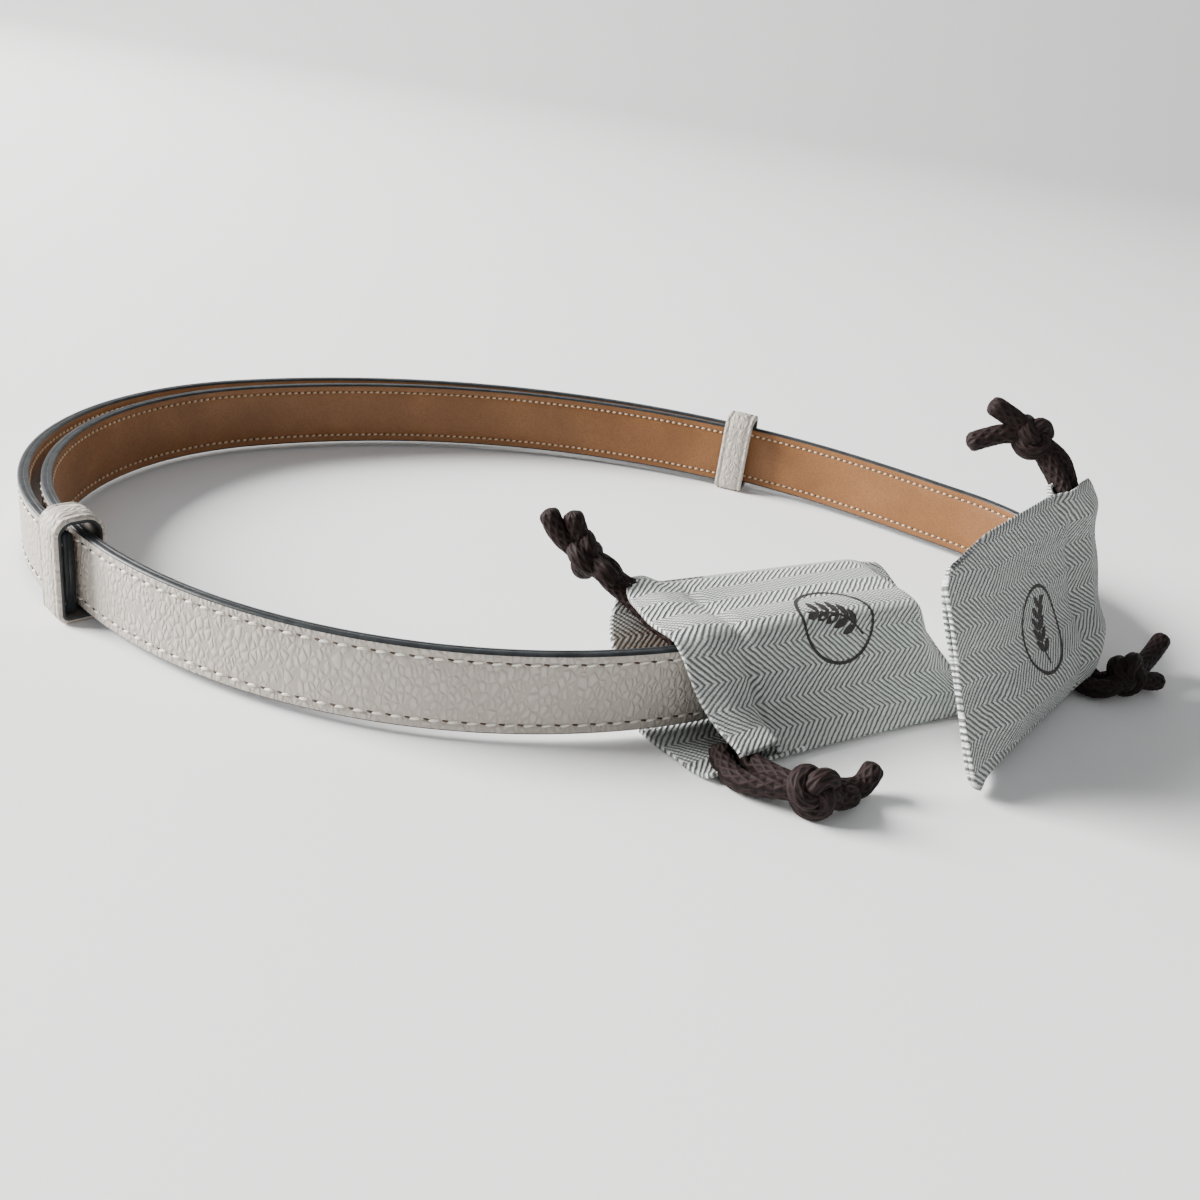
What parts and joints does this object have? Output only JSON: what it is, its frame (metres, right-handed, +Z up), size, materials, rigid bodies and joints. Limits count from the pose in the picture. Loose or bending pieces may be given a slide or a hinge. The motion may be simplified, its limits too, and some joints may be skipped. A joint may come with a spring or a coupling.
{
  "type": "leather waist belt",
  "caption": "Slim two-strap leather waist belt with sliding keepers, lying as an open loop; its turn-lock clasp is covered by two cotton drawstring pouches.",
  "frame": {"origin": "on the table under the middle of the belt's box, drawstring ends left out", "axes": "+X across the loop from the bend with the front keeper towards the pouches, +Y towards the back of the loop, +Z up"},
  "size_m": [0.2827, 0.1913, 0.065],
  "materials": {
    "white_leather": "pebbled grain, saddle stitched",
    "tan_lining": "smooth",
    "clasp_metal": "plated, satin",
    "cotton": "herringbone weave",
    "cord": "braided"
  },
  "bodies": {
    "front_strap": {"front_strap_leather": "white_leather", "front_strap_lining": "tan_lining", "back_keeper": "white_leather", "slot_plate": "clasp_metal", "slot_plate_backing": "clasp_metal", "slot_plate_screw_upper": "clasp_metal", "slot_plate_screw_lower": "clasp_metal"},
    "back_strap": {"back_strap_leather": "white_leather", "back_strap_lining": "tan_lining", "front_keeper": "white_leather", "lock_plate": "clasp_metal", "lock_backing": "clasp_metal", "lock_screw_inner": "clasp_metal", "lock_screw_end": "clasp_metal", "lock_post": "clasp_metal", "lock_washer": "clasp_metal"},
    "toggle": {"lock_toggle": "clasp_metal"},
    "front_pouch": {"front_pouch_bag": "cotton", "front_pouch_upper_drawstring": "cord", "front_pouch_lower_drawstring": "cord"},
    "back_pouch": {"back_pouch_bag": "cotton", "back_pouch_upper_drawstring": "cord", "back_pouch_lower_drawstring": "cord"}
  },
  "joints": [
    {"name": "size_adjust", "type": "slide", "parent": "front_strap", "child": "back_strap", "axis": [0.866, -0.5, 0], "range_m": [0, 0.0028]},
    {"name": "toggle_turn", "type": "hinge", "parent": "back_strap", "child": "toggle", "pos_m": [0.10174, -0.05161, 0.0109], "axis": [0.8181, -0.575, 0], "range_deg": [0, 90]},
    {"name": "front_pouch_slide", "type": "slide", "parent": "front_strap", "child": "front_pouch", "axis": [0.829, 0.5592, 0], "range_m": [-0.002, 0.0006]},
    {"name": "back_pouch_slide", "type": "slide", "parent": "back_strap", "child": "back_pouch", "axis": [-0.575, -0.8181, 0], "range_m": [0, 0.055]}
  ]
}
